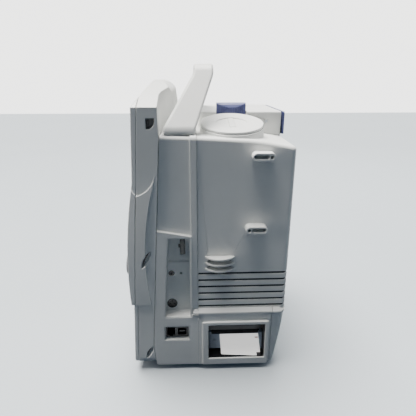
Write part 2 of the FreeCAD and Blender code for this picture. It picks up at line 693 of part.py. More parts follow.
def cell_cover():
    """Round twist-off cover on the tilted hatch, with a finger bar across it."""
    middle, up = hatch_axis()
    disc = Part.makeCylinder(HATCH_RADIUS - 0.4, 3.2, middle - up * 3.2, up)
    disc = soften(disc, 1.4, lambda point, edge: (point - middle).dot(up) > -0.2)
    plug = tube_along(29.4, 27.0, middle - up * 9, up, 6)
    dish = Part.makeCylinder(20, 2, middle - up * 1.4, up)
    bar = slab("z", oblong(-20.4, 20.4, -4, 4, 2), 0, 1.4)
    bar.Placement = FreeCAD.Placement(middle - up * 1.8, FreeCAD.Rotation(Z_AXIS, up))
    return joined([disc.cut(dish), plug, bar])


def tube_along(outer, inner, start, direction, length):
    solid = Part.makeCylinder(outer, length, start, direction)
    return solid.cut(Part.makeCylinder(inner, length, start, direction))


def oxygen_cell():
    """Galvanic oxygen cell under the hatch, hanging from a bracket ring."""
    middle, up = hatch_axis()
    body = Part.makeCylinder(15, 36, middle - up * 50, up)
    cap = Part.makeCylinder(11, 5, middle - up * 14, up)
    return joined([body, cap])


# ---------------------------------------------------------------- filter deck

def filter_housing():
    """Raised deck on the roof that holds the air filter, open towards the rear."""
    path = oblong(DECK_X[0], DECK_X[1], DECK_Y[0], DECK_Y[1] + 20, 6)
    outer = slab("z", path, 325, DECK_TOP).cut(block(-200, 200, DECK_Y[1], 200, 0, 400))
    outer = soften(outer, 2.5, lambda point, edge: point.z > DECK_TOP - 0.1 and point.y < DECK_Y[1] - 0.1)
    inner = pad("z", DECK_X[0] + WALL, DECK_X[1] - WALL, DECK_Y[0] + WALL, DECK_Y[1] + 40, 3, 300, DECK_TOP - WALL)
    shell = outer.cut([inner, case_solid(0, CASE_FOOT)])
    screw = rod(2.2, (DECK_X[1] - 10, 89, 349.5), (DECK_X[1] + 5, 89, 349.5))
    latch_seat = block(8, DECK_X[1] + 2, LATCH_Y[0] - 0.6, LATCH_Y[1] + 0.6, 357.5, 380)
    seat_floor = block(5, DECK_X[1] - WALL - 1, LATCH_Y[0] - 3, LATCH_Y[1] + 3, 354.5, 357.5)
    seat_walls = seat_floor.copy()
    seat_walls.translate(V(0, 0, 3))
    shell = joined([shell, seat_floor, seat_walls.common(slab("z", path, 300, DECK_TOP - 1))])
    return shell.cut([screw, latch_seat])


def filter_latch():
    """Ribbed thumb latch on the deck's edge: pushed inwards, it frees the filter."""
    reach = 27.0
    plan = [(14, LATCH_Y[0]), (22, LATCH_Y[0]), Bow(reach, sum(LATCH_Y) / 2), (22, LATCH_Y[1]), (14, LATCH_Y[1])]
    side = [(12, 357.8), (28, 357.8), (28, 366, 2), (23, 373.5, 5), (12, 374.5)]
    body = slab("z", plan, 357.8, 376).common(slab("y", side, LATCH_Y[0], LATCH_Y[1]))
    grooves = []
    for index in range(13):
        y = LATCH_Y[0] + 6 + index * 2.5
        grooves.append(block(21, 40, y - 0.6, y + 0.6, 360.5, 368).cut(crescent_core(0.9)))
    return body.cut(grooves)


def crescent_core(depth):
    """The latch's bowed face moved inwards, which is where its grip grooves stop."""
    reach = 27.0 - depth
    return slab("z", [(0, LATCH_Y[0] - 1), (22 - depth, LATCH_Y[0] - 1), Bow(reach, sum(LATCH_Y) / 2),
                      (22 - depth, LATCH_Y[1] + 1), (0, LATCH_Y[1] + 1)], 355, 380)


def filter_grille():
    """Slotted rear cover of the filter, with rails that slide into the deck."""
    plate = pad("y", DECK_X[0] + 0.6, DECK_X[1] - 0.6, ROOF_REAR + 3.0, DECK_TOP - 0.6, 2.5, REAR_Y + 0.3, REAR_Y + 3)
    slots = []
    for index in range(22):
        x = DECK_X[0] + 7.5 + index * 6
        slots.append(block(x - 1.4, x + 1.4, REAR_Y - 1, REAR_Y + 5, ROOF_REAR + 8, DECK_TOP - 6))
    tray = block(DECK_X[0] + 4, DECK_X[1] - 4, 66, REAR_Y + 0.5, 344, 345.6)
    ends = [block(x, x + 1.6, 66, REAR_Y + 0.5, 345, 352) for x in (DECK_X[0] + 4, DECK_X[1] - 5.6)]
    return joined([plate.cut(slots), tray] + ends)


def filter_pad():
    return block(DECK_X[0] + 6, DECK_X[1] - 6, 67, REAR_Y - 1, 345.8, 353.5)


# ---------------------------------------------------------------- base

def base_solid(inset):
    """Tapering base under the rear case, with its sloped shoulder."""
    front = HOUSING_REAR + SEAM
    plan = slab("z", [(-HALF_BASE + inset, front), (HALF_BASE - inset, front), (HALF_BASE_REAR - inset, REAR_Y - inset, 12),
                      (-HALF_BASE_REAR + inset, REAR_Y - inset, 12)], 0, SHOULDER_LOW + 2)
    side = slab("x", [(front, FOOT_HEIGHT + inset), (BASE_REAR_FOOT - inset, FOOT_HEIGHT + inset, 5),
                      (REAR_Y - inset, SHOULDER_LOW), (REAR_Y - inset, 120), (front, 120)], -150, 150)
    return plan.common(side)


def shoulder():
    half = HALF_BASE
    ring = slab("z", [(-half, HOUSING_REAR - 7), (half, HOUSING_REAR - 7), (half, REAR_Y + 0.6, 12),
                      (-half, REAR_Y + 0.6, 12)], SHOULDER_LOW, SHOULDER_TOP)
    ring = ring.makeChamfer(SHOULDER_SLOPE, [edge for edge in ring.Edges if on_shoulder_rim(edge, SHOULDER_TOP)])
    ring = soften(ring, 2.5, lambda point, edge: abs(point.z - SHOULDER_LOW) < 0.1 and on_shoulder_rim(edge, SHOULDER_LOW))
    return ring


def on_shoulder_rim(edge, height):
    """Whether an edge runs along the sides or rear of the shoulder at a height."""
    point = edge.valueAt(middle_parameter(edge))
    return abs(point.z - height) < 0.1 and point.y > HOUSING_REAR - 6.9


def base_shell():
    ring = shoulder().cut([block(-HALF_BODY - 0.2, HALF_BODY + 0.2, -60, REAR_Y + 0.2, CASE_FOOT - 0.2, 120),
                           block(-HALF_BASE + WALL + 2, HALF_BASE - WALL - 2, -60, REAR_Y - WALL - 1, 0, 120)])
    walls = base_solid(0).cut(base_solid(WALL).fuse(block(-117, 117, -60, REAR_Y - 8, 60, 130)))
    clear = block(-HALF_SPAN, HALF_SPAN, -80, HOUSING_REAR + SEAM, 0, 120)
    return joined([ring, walls]).cut([clear, rear_corner_clear()])


def rear_corner_clear():
    """Room inside the shoulder for the rear case's rounded corners."""
    return slab("z", [(-HALF_BODY - 0.15, -60), (HALF_BODY + 0.15, -60), (HALF_BODY + 0.15, REAR_Y + 0.15, CORNER),
                      (-HALF_BODY - 0.15, REAR_Y + 0.15, CORNER)], CASE_FOOT - 0.15, 130)


def bay_region(gap):
    return block(112, HALF_SPAN, BAY_PANEL_Y[0] + gap, BAY_PANEL_Y[1] - gap, FOOT_HEIGHT - 1, SHOULDER_TOP + 2)


def base_housing():
    shell = base_shell().cut([bay_region(-SEAM), block(-115, 115, -60, 90, 0, FOOT_HEIGHT + WALL + 1)])
    battery_mouth = pad("x", 4.4, 81.6, 19.4, 76.6, 3, -HALF_SPAN, -100)
    return shell.cut(battery_mouth)


def bay_panel():
    """Removable side panel with the proud frame round the recorder's opening."""
    panel = base_shell().common(bay_region(SEAM))
    frame = pad("x", BAY_FRAME_Y[0], BAY_FRAME_Y[1], FOOT_HEIGHT + 0.6, BAY_FRAME_TOP, 2, 119, BAY_FRAME_X)
    frame = soften(frame, 1.0, lambda point, edge: point.x > BAY_FRAME_X - 0.1)
    opening = block(100, HALF_SPAN, BAY_Y[0], BAY_Y[1], BAY_SILL, BAY_Z[1])
    relief = block(100, BAY_FRAME_X - 2.4, BAY_Y[0] - 2.3, BAY_Y[1] + 2.3, BAY_Z[0] - 2.3, BAY_Z[1] + 2.3)
    return joined([panel, frame]).cut([opening, relief])


def bottom_plate():
    plate = pad("z", -114.5, 111.4, HOUSING_REAR + 1, 89.5, 4, FOOT_HEIGHT + 0.4, FOOT_HEIGHT + 2.4)
    holes = [rod(4.2, (x, y, 0), (x, y, 20)) for x, y in insert_places()]
    slots = [pad("z", x - 1.5, x + 1.5, 20, 60, 1.4, 0, 20) for x in range(-24, 25, 8)]
    return plate.cut(holes + slots)


def insert_places():
    half = INSERT_PITCH / 2
    return [(x, INSERT_MIDDLE_Y + y) for x in (-half, half) for y in (-half, half)]


def feet():
    pieces = []
    for x in (-98, 98):
        for y, top in ((-44, FOOT_HEIGHT), (78, FOOT_HEIGHT + 0.4)):
            foot = Part.makeCone(10, 12, top, V(x, y, 0))
            pieces.append(foot.cut(rod(2.5, (x, y, -1), (x, y, 3))))
    return Part.makeCompound(pieces)


def mount_inserts():
    """Threaded brass inserts in the underside for a stand or trolley plate."""
    pieces = []
    for x, y in insert_places():
        sleeve = rod(4.15, (x, y, FOOT_HEIGHT + 0.4), (x, y, FOOT_HEIGHT + 10.4))
        collar = rod(6, (x, y, FOOT_HEIGHT + 2.4), (x, y, FOOT_HEIGHT + 4))
        pieces.append(joined([sleeve, collar]).cut(rod(INSERT_BORE, (x, y, 0), (x, y, FOOT_HEIGHT + 10.4))))
    return Part.makeCompound(pieces)


# ---------------------------------------------------------------- recorder

def recorder_body():
    """Open-mouthed case of the strip recorder with its print head bar."""
    mouth = BAY_FRAME_X - 2.7
    outer = block(48, mouth, BAY_Y[0] - 2, BAY_Y[1] + 2, BAY_Z[0] - 2, BAY_Z[1] + 2)
    inner = block(50, mouth + 1, BAY_Y[0], BAY_Y[1], BAY_Z[0], BAY_Z[1])
    head = block(97, 104, BAY_Y[0], BAY_Y[1], 51.2, 58)
    return joined([outer.cut(inner), head])


def recorder_drawer():
    """Paper drawer: floor, cheeks and a face with a recessed grip."""
    face = block(104, 107, DRAWER_Y[0], DRAWER_Y[1], DRAWER_FOOT, DRAWER_TOP + 5)
    floor = block(56, 105, DRAWER_Y[0], DRAWER_Y[1], DRAWER_FOOT, DRAWER_FOOT + 2)
    cheeks = [block(56, 107, y, y + 3, DRAWER_FOOT, DRAWER_TOP) for y in (DRAWER_Y[0], DRAWER_Y[1] - 3)]
    horns = [block(95, 107, y0, y1, DRAWER_TOP - 1, DRAWER_TOP + 9)
             for y0, y1 in ((DRAWER_Y[0], DRAWER_Y[0] + 3), (DRAWER_Y[1] - 3, DRAWER_Y[1]))]
    post = block(105, 110, DRAWER_Y[1] - 5.5, DRAWER_Y[1], DRAWER_FOOT, DRAWER_TOP + 9)
    dimple = rod(1.6, (105.5, 11.6, 36), (108, 11.6, 36))
    body = joined([face, floor, post] + cheeks + horns)
    roll_axle = rod(2.1, (PAPER_ROLL_AT[0], DRAWER_Y[0] - 1, PAPER_ROLL_AT[1]),
                    (PAPER_ROLL_AT[0], DRAWER_Y[1] + 1, PAPER_ROLL_AT[1]))
    platen_axle = rod(2.1, (PLATEN_AT[0], DRAWER_Y[0] - 1, PLATEN_AT[1]), (PLATEN_AT[0], DRAWER_Y[1] + 1, PLATEN_AT[1]))
    room = rod(PLATEN_RADIUS + 0.6, (PLATEN_AT[0], DRAWER_Y[0] + 3, PLATEN_AT[1]),
               (PLATEN_AT[0], DRAWER_Y[1] - 3, PLATEN_AT[1]))
    return body.cut([dimple, roll_axle, platen_axle, room])


def roller(place, radius, low, high, hub):
    body = rod(radius, (place[0], low, place[1]), (place[0], high, place[1]))
    axle = rod(hub, (place[0], DRAWER_Y[0], place[1]), (place[0], DRAWER_Y[1], place[1]))
    return joined([body, axle])


def platen_roller():
    return roller(PLATEN_AT, PLATEN_RADIUS, DRAWER_Y[0] + 3.6, DRAWER_Y[1] - 3.6, 2.05)


def paper_roll():
    roll = rod(PAPER_ROLL_RADIUS, (PAPER_ROLL_AT[0], PAPER_Y, PAPER_ROLL_AT[1]),
               (PAPER_ROLL_AT[0], PAPER_Y + PAPER_WIDTH - 2, PAPER_ROLL_AT[1]))
    axle = rod(2.05, (PAPER_ROLL_AT[0], DRAWER_Y[0], PAPER_ROLL_AT[1]),
               (PAPER_ROLL_AT[0], DRAWER_Y[1], PAPER_ROLL_AT[1]))
    return joined([roll, axle])


def paper_strip():
    """Free end of the recorder paper, hanging over the drawer's face, slightly askew."""
    right = PAPER_Y + PAPER_WIDTH
    drop = slab("y", [(107.4, 46.6), (107.9, 46.6), (128.3, 20.6), (127.8, 20.6)], PAPER_Y - 6, right + 12)
    shape = slab("x", [(PAPER_Y, 46.4), (right, 46.4), (right + 1.5, 21.6), (PAPER_Y + 1.3, 24.4)], 100, 130)
    return drop.common(shape)


# ---------------------------------------------------------------- sockets on the recorder side

def connector_panel():
    """Recessed panel in three facets that carries the rocker and the sockets."""
    outside = connector_region(0.2, 99, HALF_FRONT - 0.4)
    z0, z1 = CONNECTOR_Z
    facets = slab("y", [(HALF_FRONT + 5, z0 + 1.2), (HALF_FRONT + 5, z1), (101, z1), (101, 168), (104, 166),
                        (104, 138), (106, 132), (106, z0 + 6), (107.5, z0 + 1.2)], -100, 0)
    panel = outside.cut(connector_region(1.0, 90, HALF_SPAN).common(facets))
    rocker = block(90, 110, -35.9, -29.1, ROCKER_Z - 13.5, ROCKER_Z + 13.5)
    notch = block(90, 110, -38.1, -35, ROCKER_Z - 3, ROCKER_Z + 3)
    jack = rod(4.3, (90, *JACK_AT), (115, *JACK_AT))
    hole = rod(1.6, (90, *HOLE_AT), (115, *HOLE_AT))
    hole_relief = rod(3.4, (90, *HOLE_AT), (103.2, *HOLE_AT))
    socket = rod(7.2, (90, *CALL_AT), (115, *CALL_AT))
    return panel.cut([rocker, notch, jack, hole, hole_relief, socket])


def power_rocker():
    """Rocker switch on a pin, in the upper facet."""
    body = slab("y", [(96, ROCKER_Z - 11), (101.6, ROCKER_Z - 12.6), (102.6, ROCKER_Z), (101.6, ROCKER_Z + 12.6),
                      (96, ROCKER_Z + 11)], -35.4, -29.6)
    return joined([body, rod(1.5, (97.3, -37.4, ROCKER_Z), (97.3, -27.6, ROCKER_Z))])


def rocker_cradle():
    """Snap-in body of the rocker behind the panel, with the pin's two cheeks."""
    box = block(84, 98.6, -38.5, -26.5, ROCKER_Z - 17, ROCKER_Z + 17)
    room = block(86, 99, -36.2, -28.8, ROCKER_Z - 15.5, ROCKER_Z + 15.5)
    pin = rod(1.55, (97.3, -37.6, ROCKER_Z), (97.3, -27.4, ROCKER_Z))
    cheeks = [block(97, 98.9, y, y + 2.2, ROCKER_Z - 3.5, ROCKER_Z + 3.5) for y in (-38.5, -28.7)]
    return joined([box] + cheeks).cut([room, pin])


def side_sockets():
    """Round supply jack and the larger nurse-call socket."""
    jack = tube(4.2, 1.7, (94, *JACK_AT), (104.6, *JACK_AT))
    jack = jack.fuse(rod(0.9, (94, *JACK_AT), (103, *JACK_AT)))
    rear = rod(5.4, (90, *JACK_AT), (94, *JACK_AT))
    call = tube(7.1, 6.2, (96, *CALL_AT), (106.8, *CALL_AT))
    insert = rod(7.1, (92, *CALL_AT), (96, *CALL_AT)).fuse(rod(6.0, (95, *CALL_AT), (105.6, *CALL_AT)))
    contacts = [rod(0.8, (100, CALL_AT[0] + 3.2 * math.cos(turn), CALL_AT[1] + 3.2 * math.sin(turn)),
                    (110, CALL_AT[0] + 3.2 * math.cos(turn), CALL_AT[1] + 3.2 * math.sin(turn)))
                for turn in (math.pi / 2, math.pi * 7 / 6, math.pi * 11 / 6)]
    return Part.makeCompound([joined([jack, rear]), joined([call, insert]).cut(contacts)])


def network_bay():
    """Shallow recess round the pair of sockets below."""
    y0, y1 = NETWORK_Y[0] + 0.2, NETWORK_Y[1] - 0.2
    z0, z1 = NETWORK_Z[0] + 0.2, NETWORK_Z[1] - 0.2
    outside = block(112, HALF_FRONT - 0.3, y0, y1, z0, z1)
    hollow = block(118.4, HALF_SPAN, y0 + 0.8, y1 - 0.8, z0 + 0.8, z1 - 0.8)
    sockets = block(100, HALF_SPAN, y0 + 1.6, y1 - 1.6, z0 + 1.6, z1 - 1.6)
    return outside.cut([hollow, sockets])


def network_socket():
    """Black block with a network socket and a service socket side by side."""
    body = block(98, 119.2, NETWORK_Y[0] + 2.0, NETWORK_Y[1] - 2.0, NETWORK_Z[0] + 2.0, NETWORK_Z[1] - 2.0)
    low = NETWORK_Z[0] + 5
    mouth = joined([block(104, 130, -57, -45.4, low, low + 13), block(104, 130, -53.6, -48.8, low - 2.2, low + 1)])
    service = pad("x", -41.5, -29, low, low + 12, 1.5, 108, 130)
    tongue = block(107, 118, -39.5, -31, low + 5, low + 7)
    return joined([body.cut([mouth, service]), tongue])


# ---------------------------------------------------------------- rear

def rear_panel():
    plate = pad("y", -79.6, 79.6, 112.4, 301.6, 3.6, REAR_Y - 2.5, REAR_Y - 0.5)
    fan = rod(36, (FAN_AT[0], 100, FAN_AT[1]), (FAN_AT[0], 120, FAN_AT[1]))
    inlet = block(INLET_AT[0] - 13.8, INLET_AT[0] + 13.8, 100, 120, INLET_AT[1] - 10, INLET_AT[1] + 10)
    slots = [pad("y", x - 1.5, x + 1.5, 190, 280, 1.4, 100, 120) for x in range(34, 71, 6)]
    screws = [rod(1.5, (x, 100, z), (x, 120, z)) for x, z in panel_screw_places()]
    return plate.cut([fan, inlet] + slots + screws)


def panel_screw_places():
    return [(x, z) for x in (-74, 74) for z in (118, 296)]


def mains_inlet():
    """Three-pin appliance inlet with its flange."""
    x, z = INLET_AT
    flange = pad("y", x - 24, x + 24, z - 13, z + 13, 4, REAR_Y - 0.5, REAR_Y + 1.8)
    body = pad("y", x - 13.5, x + 13.5, z - 9.7, z + 9.7, 2, 92, REAR_Y)
    mouth = slab("y", [(x - 12, z - 8), (x + 12, z - 8), (x + 12, z + 3), (x + 7, z + 8), (x - 7, z + 8), (x - 12, z + 3)],
                 94, 120)
    screws = [rod(1.7, (x + dx, 100, z), (x + dx, 120, z)) for dx in (-19, 19)]
    blades = [block(x + dx - 1, x + dx + 1, 93, REAR_Y - 3, z - 2, z + 2) for dx in (-7, 0, 7)]
    return joined([joined([flange, body]).cut([mouth] + screws)] + blades)


def cooling_fan():
    x, z = FAN_AT
    half = FAN_SIZE / 2
    frame = pad("y", x - half, x + half, z - half, z + half, 4, 82, 107.4)
    frame = frame.cut(rod(37.5, (x, 80, z), (x, 110, z)))
    hub = rod(13, (x, 82, z), (x, 85, z)).cut(rod(2.0, (x, 80, z), (x, 90, z)))
    arms = []
    for index in range(3):
        arm = block(12, 39, -2, 2, 0, 3)
        arm.Placement = FreeCAD.Placement(V(x, 85, z), FreeCAD.Rotation(X_AXIS, 90))
        arm.rotate(V(x, 0, z), Y_AXIS, 120 * index + 30)
        arms.append(arm)
    return joined([frame, hub] + arms)


def fan_rotor():
    x, z = FAN_AT
    hub = rod(12.5, (x, 86, z), (x, 105, z))
    shaft = rod(1.95, (x, 82.5, z), (x, 86, z))
    blades = []
    for index in range(7):
        blade = block(10, 36, -1, 1, -8.5, 8.5)
        blade.rotate(V(0, 0, 0), X_AXIS, 38)
        blade.rotate(V(0, 0, 0), X_AXIS, 90)
        blade.translate(V(x, 95.5, z))
        blade.rotate(V(x, 0, z), Y_AXIS, 360 / 7 * index)
        blades.append(blade.common(rod(36.3, (x, 86.5, z), (x, 104.5, z))))
    return joined([hub, shaft] + blades)


def fan_guard():
    x, z = FAN_AT
    rings = []
    for radius in (8, 16, 24, 32, 38.5):
        rings.append(Part.makeTorus(radius, 0.9, V(x, REAR_Y + 1.2, z), Y_AXIS))
    spokes = [rod(0.9, (x, REAR_Y + 0.4, z), (x + 42 * math.cos(turn), REAR_Y + 0.4, z + 42 * math.sin(turn)))
              for turn in (math.pi / 4, math.pi * 3 / 4, math.pi * 5 / 4, math.pi * 7 / 4)]
    return joined(rings + spokes)


def rear_bumpers():
    pieces = []
    for x in (-94, 94):
        for z in (126, 290):
            bumper = Part.makeCone(8, 6.5, BUMPER_FACE - REAR_Y, V(x, REAR_Y, z), Y_AXIS)
            pieces.append(bumper.cut(rod(2.2, (x, BUMPER_FACE - 2, z), (x, BUMPER_FACE + 1, z))))
    return Part.makeCompound(pieces)


# ---------------------------------------------------------------- patient side

def patient_block():
    """Manifold behind the far side wall, with the flow sensor nipples."""
    plate = pad("x", 8.3, 99.7, 186.3, 287.7, 4.7, -HALF_BODY, -HALF_BODY + 4)
    manifold = pad("x", 18, 92, 196, 234, 6, -HALF_BODY + 4, -86)
    bores = [rod(PORT_BORE, (-HALF_SPAN, y, PORT_Z), (-92, y, PORT_Z)) for y in PORTS_Y]
    seats = [rod(PORT_RADIUS - 0.6, (-HALF_SPAN, y, PORT_Z), (-108, y, PORT_Z)) for y in PORTS_Y]
    oxygen = rod(OXYGEN_RADIUS + 0.02, (-HALF_SPAN, *OXYGEN_AT), (-100, *OXYGEN_AT))
    plunger = rod(3.0, (-100, PORTS_Y[1], PORT_Z), (-80, PORTS_Y[1], PORT_Z))
    nipples = []
    for y in (44, 55, 66):
        stem = tube(2.4, 1.1, (-HALF_SPAN + 3, y, 262), (-HALF_BODY + 1, y, 262))
        nipples.append(stem)
    return joined([plate, manifold] + nipples).cut(bores + seats + [oxygen, plunger])


def breathing_port(y):
    """Port for a breathing tube, with a narrower root that seats in the manifold."""
    spigot = rod(PORT_RADIUS, (-HALF_SPAN, y, PORT_Z), (-HALF_BODY, y, PORT_Z))
    root = rod(PORT_RADIUS - 0.6, (-HALF_BODY, y, PORT_Z), (-108, y, PORT_Z))
    return joined([spigot, root]).cut(rod(PORT_BORE, (-HALF_SPAN, y, PORT_Z), (-108, y, PORT_Z)))


def exhalation_valve():
    """Plunger that presses on the expiratory seat."""
    y = PORTS_Y[1]
    head = rod(8.0, (-98, y, PORT_Z), (-95, y, PORT_Z))
    stem = rod(2.95, (-95, y, PORT_Z), (-82, y, PORT_Z))
    return joined([head, stem])


def oxygen_inlet():
    y, z = OXYGEN_AT
    body = tube(OXYGEN_RADIUS, 3.0, (-HALF_SPAN, y, z), (-106, y, z))
    path = [(y + 11 * math.cos(math.pi * side / 3), z + 11 * math.sin(math.pi * side / 3)) for side in range(6)]
    nut = slab("x", path, -HALF_BODY - 5, -HALF_BODY).cut(rod(3.0, (-HALF_SPAN, y, z), (-106, y, z)))
    return joined([body, nut])


def oxygen_valve():
    y, z = OXYGEN_AT
    body = block(-106, -70, y - 14, y + 14, z - 16, z + 10)
    coil = rod(11, (-90, y, z + 10), (-90, y, z + 40))
    return joined([body, coil])


# ---------------------------------------------------------------- inside

def chassis():
    """Folded sheet tray on four legs, carrying the blower and the boards."""
    tray = block(-90, 96, -44, 96, 80, 82)
    fold = block(-90, 84, -44, -42.4, 80, 134)
    front_legs = [rod(4, (x, -36, FOOT_HEIGHT + WALL), (x, -36, 80)) for x in (-84, 30)]
    rear_legs = [rod(4, (x, 86, FOOT_HEIGHT + 2.4), (x, 86, 80)) for x in (-84, 22)]
    return joined([tray, fold] + front_legs + rear_legs)


def blower_housing():
    x, y = BLOWER_AT
    drum = rod(46, (x, y, 82), (x, y, 118))
    outlet = block(x - 46, x - 26, y, y + 52, 92, 110)
    hollow = rod(43, (x, y, 84), (x, y, 116))
    shaft_hole = rod(3.05, (x, y, 112), (x, y, 122))
    bore = block(x - 43, x - 29, y, y + 57, 95, 107)
    inlets = [rod(2.2, (x + 30 * math.cos(turn), y + 30 * math.sin(turn), 112),
                  (x + 30 * math.cos(turn), y + 30 * math.sin(turn), 122))
              for turn in [math.pi * step / 6 for step in range(12)]]
    return joined([drum, outlet]).cut([hollow, shaft_hole, bore] + inlets)


def blower_impeller():
    x, y = BLOWER_AT
    disc = rod(39, (x, y, 108), (x, y, 110))
    hub = rod(8, (x, y, 90), (x, y, 110))
    shaft = rod(2.95, (x, y, 108), (x, y, 124))
    blades = []
    for index in range(11):
        blade = block(14, 38, -0.8, 0.8, 92, 108.5)
        blade.rotate(V(14, 0, 0), Z_AXIS, 28)
        blade.rotate(V(0, 0, 0), Z_AXIS, 360 / 11 * index)
        blade.translate(V(x, y, 0))
        blades.append(blade)
    return joined([disc, hub, shaft] + blades)


def blower_motor():
    x, y = BLOWER_AT
    can = rod(24, (x, y, 118.1), (x, y, 152)).cut(rod(3.05, (x, y, 118), (x, y, 126)))
    return soften(can, 2, lambda point, edge: point.z > 151.9)


def circuit_boards():
    main = block(-90, 84, -44.0, -42.4, 134, 326)
    power = block(96, 97.6, 20, 100, 206, 310)
    parts = [block(-90 + 36 * index, -66 + 36 * index, -42.4, -36, 160 + 24 * (index % 3), 184 + 24 * (index % 3))
             for index in range(5)]
    coil = block(80, 96, 40, 64, 220, 250)
    return Part.makeCompound([joined([main] + parts), joined([power, coil])])


def battery_pack():
    """Slide-in pack whose end cap closes the mouth in the base."""
    pack = pad("x", 6, 80, 21, 75, 4, -118, -4)
    cap = pad("x", 4.8, 81.2, 19.8, 76.2, 2.6, -123.5, -118)
    grip = pad("x", 28, 58, 40, 56, 6, -125, -120.5)
    return joined([pack, cap]).cut(grip)


def speaker():
    y, z = SPEAKER_AT
    inner = -HALF_FRONT + WALL
    basket = rod(22, (inner + 0.2, y, z), (inner + 4, y, z))
    cone = Part.makeCone(19, 10, 12, V(inner + 4, y, z), X_AXIS)
    magnet = rod(13, (inner + 16, y, z), (inner + 24, y, z))
    return joined([basket, cone, magnet])


def screw(head, shank, place, direction, length):
    """Pan-head screw whose head stands on the place."""
    start = V(*place)
    along = V(*direction)
    cap = Part.makeCylinder(head, head * 0.6, start - along * (head * 0.6), along)
    stem = Part.makeCylinder(shank, length, start - along * 0.2, along)
    return joined([cap, stem])


def case_screws():
    screws = [screw(2.9, 1.45, (x, REAR_Y - 0.5, z), (0, -1, 0), 1.9) for x, z in panel_screw_places()]
    screws.append(screw(2.0, 1.2, (DECK_X[1] - 2.0, 89, 349.5), (-1, 0, 0), 1.4))
    return Part.makeCompound(screws)


PIECES = {
    "front_cover": front_cover, "display_window": display_window, "lcd_panel": lcd_panel,
    "display_frame": display_frame, "display_catches": display_catches, "alarm_light_bar": alarm_light_bar,
    "control_overlay": control_overlay, "control_knob": control_knob, "encoder_spindle": encoder,
    "encoder_body": encoder_body, "centre_housing": centre_housing, "carry_handle": carry_handle,
    "rear_case": rear_case, "side_louvre": side_louvre, "accessory_posts": accessory_posts,
    "oxygen_cell_cover": cell_cover, "oxygen_cell": oxygen_cell, "filter_housing": filter_housing,
    "filter_latch": filter_latch, "filter_grille": filter_grille, "filter_pad": filter_pad,
    "base_housing": base_housing, "bay_panel": bay_panel, "bottom_plate": bottom_plate, "feet": feet,
    "mount_inserts": mount_inserts, "recorder_body": recorder_body, "recorder_drawer": recorder_drawer,
    "platen_roller": platen_roller, "paper_roll": paper_roll, "paper_strip": paper_strip,
    "connector_panel": connector_panel, "power_rocker": power_rocker, "rocker_cradle": rocker_cradle,
    "side_sockets": side_sockets, "network_bay": network_bay, "network_socket": network_socket,
    "rear_panel": rear_panel, "mains_inlet": mains_inlet, "cooling_fan": cooling_fan, "fan_rotor": fan_rotor,
    "fan_guard": fan_guard, "rear_bumpers": rear_bumpers, "patient_block": patient_block,
    "exhalation_valve": exhalation_valve, "oxygen_inlet": oxygen_inlet, "oxygen_valve": oxygen_valve,
    "chassis": chassis, "blower_housing": blower_housing, "blower_impeller": blower_impeller,
    "blower_motor": blower_motor, "circuit_boards": circuit_boards, "battery_pack": battery_pack,
    "speaker": speaker, "case_screws": case_screws,
}


def export_all():
    os.makedirs("parts", exist_ok=True)
    shapes = {name: make() for name, make in PIECES.items()}
    shapes["inspiratory_port"] = breathing_port(PORTS_Y[0])
    shapes["expiratory_port"] = breathing_port(PORTS_Y[1])
    for index, x in enumerate(KEY_X):
        shapes["menu_key_%d" % (index + 1)] = key(x)
    for name, shape in shapes.items():
        shape.exportStep("parts/%s.step" % name)
        box = shape.BoundBox
        print("%-18s solids %2d valid %s volume %9.0f  x %7.1f %7.1f  y %7.1f %7.1f  z %6.1f %6.1f" % (
            name, len(shape.Solids), shape.isValid(), shape.Volume, box.XMin, box.XMax, box.YMin, box.YMax,
            box.ZMin, box.ZMax))


export_all()
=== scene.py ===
import json
import math

import bmesh
import bpy
from mathutils import Matrix, Vector


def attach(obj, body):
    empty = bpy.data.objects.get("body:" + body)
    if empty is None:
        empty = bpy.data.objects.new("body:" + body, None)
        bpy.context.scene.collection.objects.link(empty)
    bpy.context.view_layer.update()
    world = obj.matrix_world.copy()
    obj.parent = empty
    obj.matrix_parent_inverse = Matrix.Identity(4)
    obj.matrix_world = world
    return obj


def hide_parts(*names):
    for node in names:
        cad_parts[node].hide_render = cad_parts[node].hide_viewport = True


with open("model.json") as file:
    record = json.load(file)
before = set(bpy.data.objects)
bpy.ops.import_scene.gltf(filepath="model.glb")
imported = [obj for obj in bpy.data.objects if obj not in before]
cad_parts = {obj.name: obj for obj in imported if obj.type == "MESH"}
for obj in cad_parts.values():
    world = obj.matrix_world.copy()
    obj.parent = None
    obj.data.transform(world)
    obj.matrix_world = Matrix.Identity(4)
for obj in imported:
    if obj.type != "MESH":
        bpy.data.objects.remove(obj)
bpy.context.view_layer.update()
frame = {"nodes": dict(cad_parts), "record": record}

# A portable ventilator in metres. The display faces -Y, the recorder side is +X and the feet stand on z = 0.

MM = 0.001
NODES = frame["nodes"]
BODY_OF = {node: body for body, nodes in frame["record"]["behaviour"]["bodies"].items() for node in nodes}
SLOT_OF = {part["node"]: part["material_slot"] for part in frame["record"]["subparts"]}

# ---------------------------------------------------------------- studio

CAMERA_PLACE = Vector((565, -15.8, 408.7)) * MM
CAMERA_PITCH = math.radians(19.5)
CAMERA_YAW = math.radians(2.3)
CAMERA_LENS = 32.0
AMBIENT_LOW = (0.012, 0.036, 0.075)
AMBIENT_HIGH = (0.032, 0.047, 0.068)
BACKDROP = (3.4, 3.4, 3.35)


